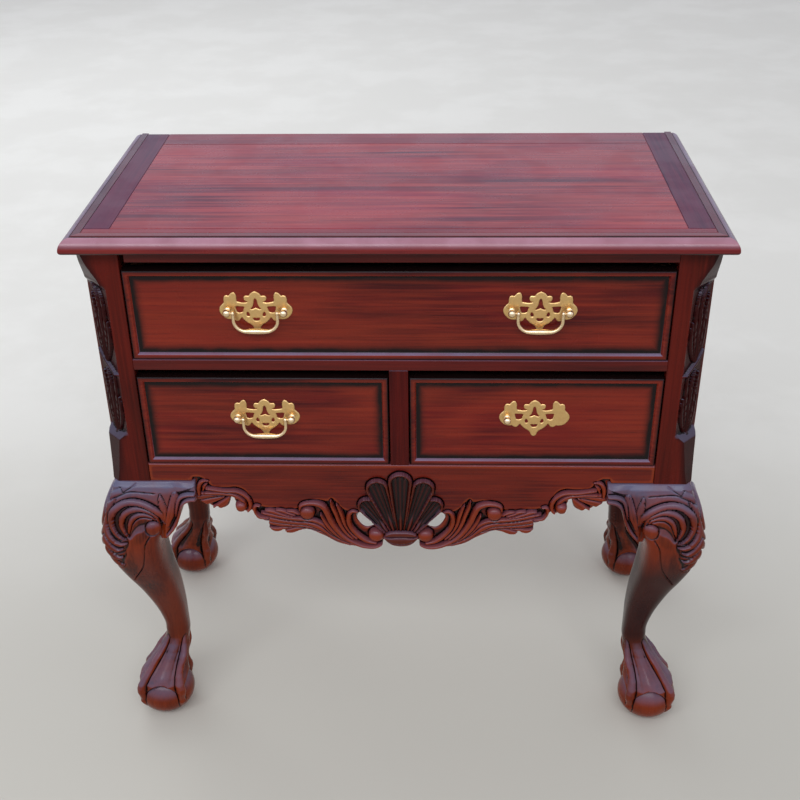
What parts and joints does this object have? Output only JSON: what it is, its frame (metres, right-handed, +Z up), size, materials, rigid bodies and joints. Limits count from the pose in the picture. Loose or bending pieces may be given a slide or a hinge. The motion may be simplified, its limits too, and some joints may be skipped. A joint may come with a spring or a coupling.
{
  "type": "lowboy",
  "caption": "Lowboy on carved cabriole legs with ball-and-claw feet: wide drawer over narrow drawers, pierced shell apron, framed top and brass bail handles.",
  "frame": {"origin": "on the floor, under the middle of the case", "axes": "+Z up, +Y from the drawer fronts to the back, +X to the right seen from the front"},
  "size_m": [0.9226, 0.459, 0.852],
  "materials": {
    "top_mahogany": "satin lacquer, purple-red",
    "stile_mahogany": "satin lacquer, darker",
    "drawer_mahogany": "satin lacquer, dark shaded edges",
    "case_mahogany": "satin lacquer",
    "carved_mahogany": "glazed carving, dark in the hollows",
    "secondary_wood": "unfinished",
    "back_board": "stained board",
    "plate_brass": "brushed, slightly dull",
    "bail_brass": "polished, worn"
  },
  "bodies": {
    "case": {"moulding_front": "top_mahogany", "moulding_left": "top_mahogany", "moulding_right": "top_mahogany", "top_front_strip": "top_mahogany", "top_stile_left": "stile_mahogany", "top_stile_right": "stile_mahogany", "top_back_rail": "top_mahogany", "top_field": "top_mahogany", "post_front_left": "case_mahogany", "post_front_right": "case_mahogany", "post_rear_left": "case_mahogany", "post_rear_right": "case_mahogany", "side_panel_left": "case_mahogany", "side_panel_right": "case_mahogany", "back_panel": "back_board", "rear_bottom_rail": "secondary_wood", "top_rail": "case_mahogany", "middle_rail": "case_mahogany", "drawer_divider": "case_mahogany", "upper_runner_left": "secondary_wood", "upper_runner_right": "secondary_wood", "lower_runner_left": "secondary_wood", "lower_runner_right": "secondary_wood", "lower_runner_centre": "secondary_wood", "corner_blocks": "secondary_wood", "leg_front_left": "carved_mahogany", "leg_front_right": "carved_mahogany", "leg_rear_left": "carved_mahogany", "leg_rear_right": "carved_mahogany", "knee_blocks_front_left": "carved_mahogany", "knee_blocks_front_right": "carved_mahogany", "knee_block_rear_left": "carved_mahogany", "knee_block_rear_right": "carved_mahogany", "apron": "carved_mahogany"},
    "top_drawer": {"top_drawer_front": "drawer_mahogany", "top_drawer_side_left": "secondary_wood", "top_drawer_side_right": "secondary_wood", "top_drawer_back": "secondary_wood", "top_drawer_bottom": "secondary_wood", "top_left_handle_plate": "plate_brass", "top_left_handle_posts": "bail_brass", "top_right_handle_plate": "plate_brass", "top_right_handle_posts": "bail_brass"},
    "left_drawer": {"left_drawer_front": "drawer_mahogany", "left_drawer_side_left": "secondary_wood", "left_drawer_side_right": "secondary_wood", "left_drawer_back": "secondary_wood", "left_drawer_bottom": "secondary_wood", "lower_left_handle_plate": "plate_brass", "lower_left_handle_posts": "bail_brass"},
    "right_drawer": {"right_drawer_front": "drawer_mahogany", "right_drawer_side_left": "secondary_wood", "right_drawer_side_right": "secondary_wood", "right_drawer_back": "secondary_wood", "right_drawer_bottom": "secondary_wood", "lower_right_handle_plate": "plate_brass", "lower_right_handle_posts": "bail_brass"},
    "top_left_bail": {"top_left_handle_bail": "bail_brass"},
    "top_right_bail": {"top_right_handle_bail": "bail_brass"},
    "lower_left_bail": {"lower_left_handle_bail": "bail_brass"}
  },
  "joints": [
    {"name": "top_drawer_slide", "type": "slide", "parent": "case", "child": "top_drawer", "axis": [0, -1, 0], "range_m": [0, 0.3]},
    {"name": "left_drawer_slide", "type": "slide", "parent": "case", "child": "left_drawer", "axis": [0, -1, 0], "range_m": [0, 0.3]},
    {"name": "right_drawer_slide", "type": "slide", "parent": "case", "child": "right_drawer", "axis": [0, -1, 0], "range_m": [0, 0.3]},
    {"name": "top_left_bail_swing", "type": "hinge", "parent": "top_drawer", "child": "top_left_bail", "pos_m": [-0.19, -0.2085, 0.7395], "axis": [-1, 0, 0], "range_deg": [-10, 190]},
    {"name": "top_right_bail_swing", "type": "hinge", "parent": "top_drawer", "child": "top_right_bail", "pos_m": [0.19, -0.2085, 0.7395], "axis": [-1, 0, 0], "range_deg": [-10, 190]},
    {"name": "lower_left_bail_swing", "type": "hinge", "parent": "left_drawer", "child": "lower_left_bail", "pos_m": [-0.1896, -0.2085, 0.573], "axis": [-1, 0, 0], "range_deg": [-10, 190]}
  ]
}
